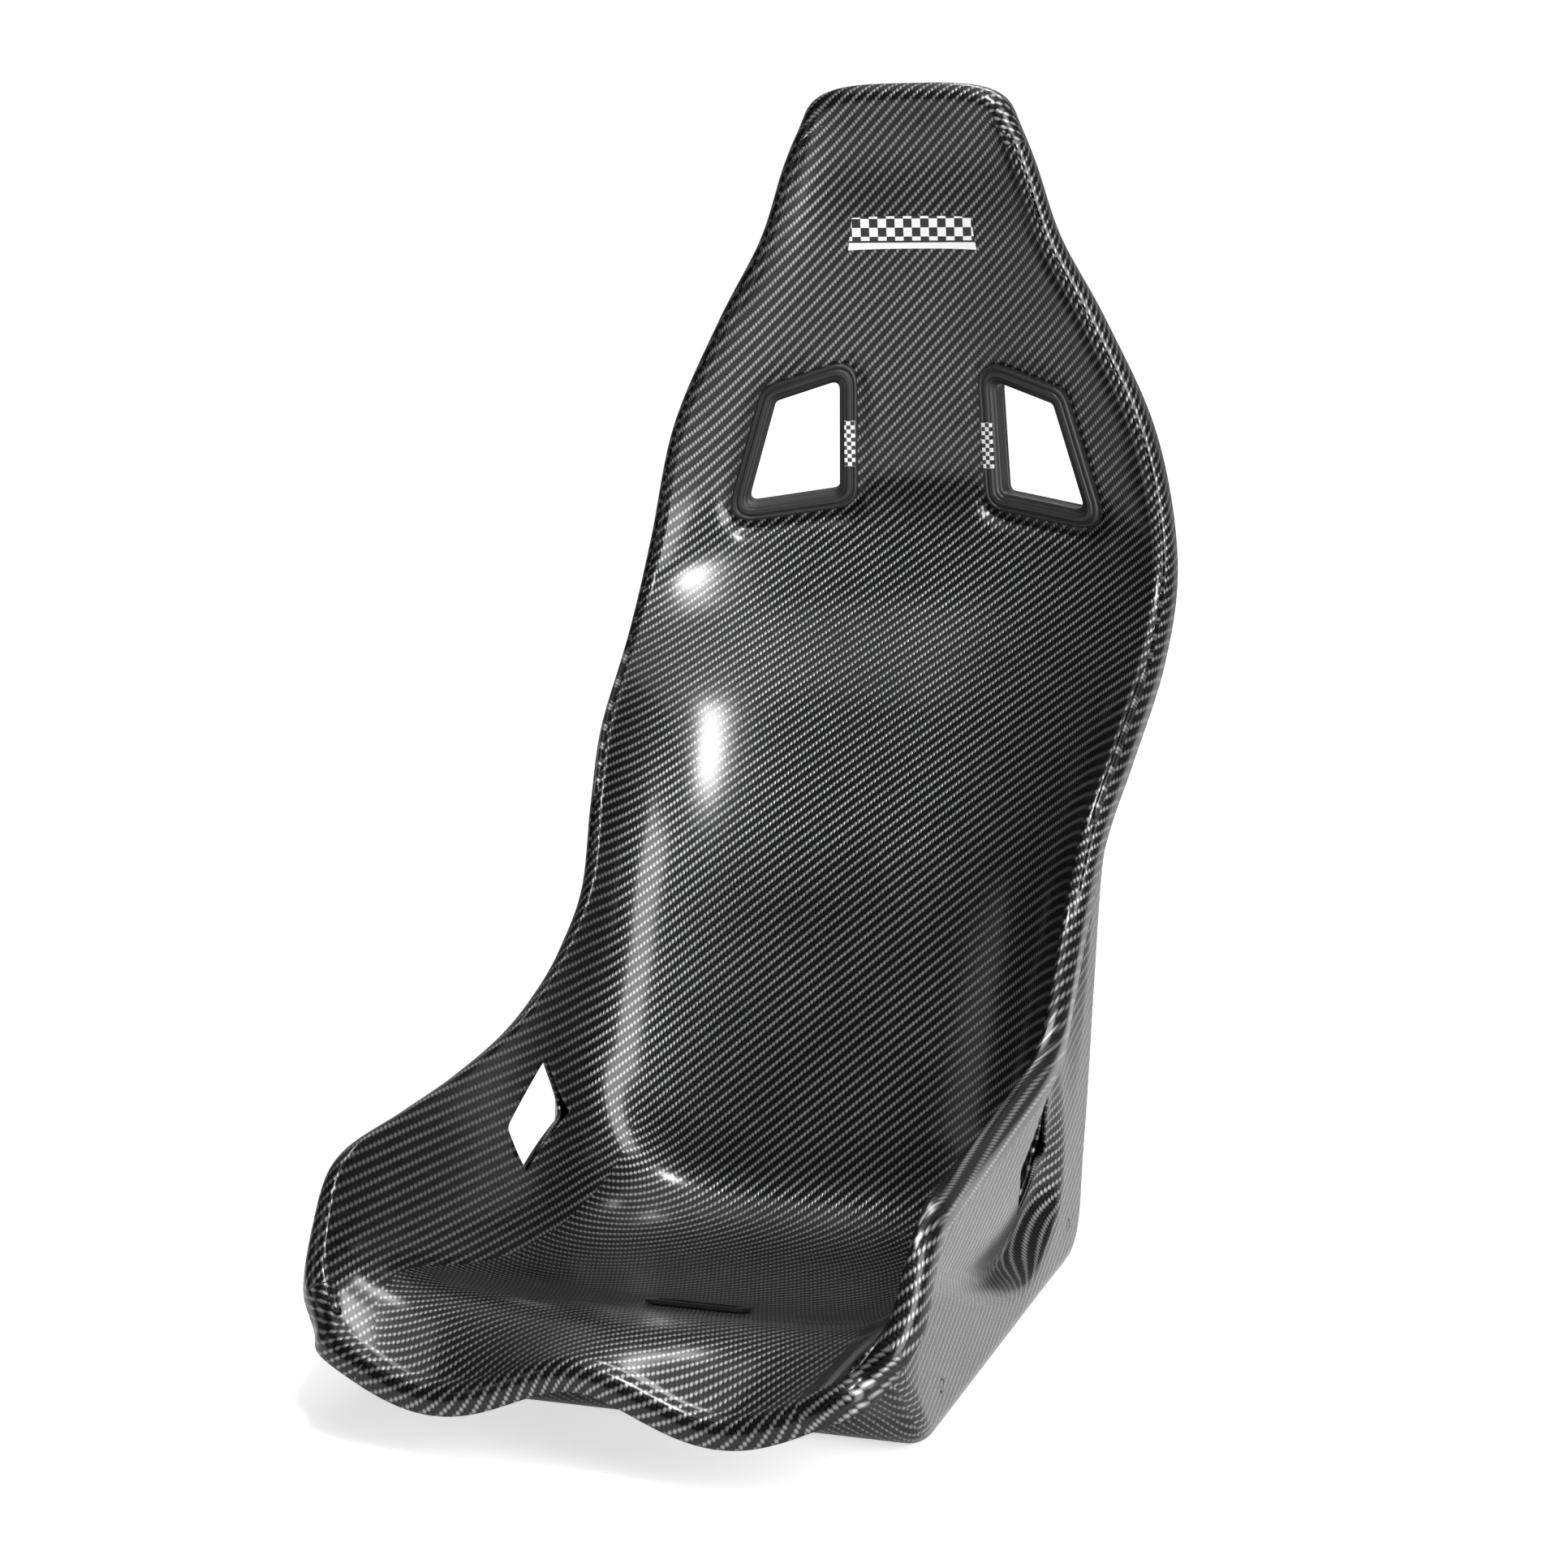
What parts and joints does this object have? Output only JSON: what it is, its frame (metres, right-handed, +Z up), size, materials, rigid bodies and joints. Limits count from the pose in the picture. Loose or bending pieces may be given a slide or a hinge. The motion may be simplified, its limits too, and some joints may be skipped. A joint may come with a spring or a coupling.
{
  "type": "racing seat",
  "caption": "Bare one-piece racing bucket seat shell in glossy carbon-fibre weave, with framed shoulder-harness openings, lap-belt cut-outs and side-mount inserts.",
  "frame": {"origin": "centre of the footprint of the bounding box, on the flat underside of the rear shell", "axes": "+Z up; the driver faces -Y; +X is the driver's left-hand side, which is on the right seen from the front"},
  "size_m": [0.4532, 0.8104, 0.885],
  "materials": {
    "carbon_weave": "2x2 twill carbon fibre laminate under a clear gloss lacquer",
    "black_plastic": "satin black moulded plastic",
    "label_plate": "satin pale grey with no lettering",
    "zinc_steel": "bright zinc-plated steel",
    "black_steel": "black-finished steel screws"
  },
  "bodies": {
    "root": {"front_shell": "carbon_weave", "rear_shell": "carbon_weave", "harness_bezel_front_left": "black_plastic", "harness_bezel_rear_left": "black_plastic", "badge_plate_left": "label_plate", "bezel_screw_left_1": "black_steel", "bezel_screw_left_2": "black_steel", "bezel_screw_left_3": "black_steel", "bezel_screw_left_4": "black_steel", "thread_insert_front_left": "zinc_steel", "anchor_plate_front_left": "zinc_steel", "thread_insert_rear_left": "zinc_steel", "anchor_plate_rear_left": "zinc_steel", "harness_bezel_front_right": "black_plastic", "harness_bezel_rear_right": "black_plastic", "badge_plate_right": "label_plate", "bezel_screw_right_1": "black_steel", "bezel_screw_right_2": "black_steel", "bezel_screw_right_3": "black_steel", "bezel_screw_right_4": "black_steel", "thread_insert_front_right": "zinc_steel", "anchor_plate_front_right": "zinc_steel", "thread_insert_rear_right": "zinc_steel", "anchor_plate_rear_right": "zinc_steel", "crotch_slot_trim": "black_plastic", "head_strip": "label_plate"}
  },
  "joints": []
}
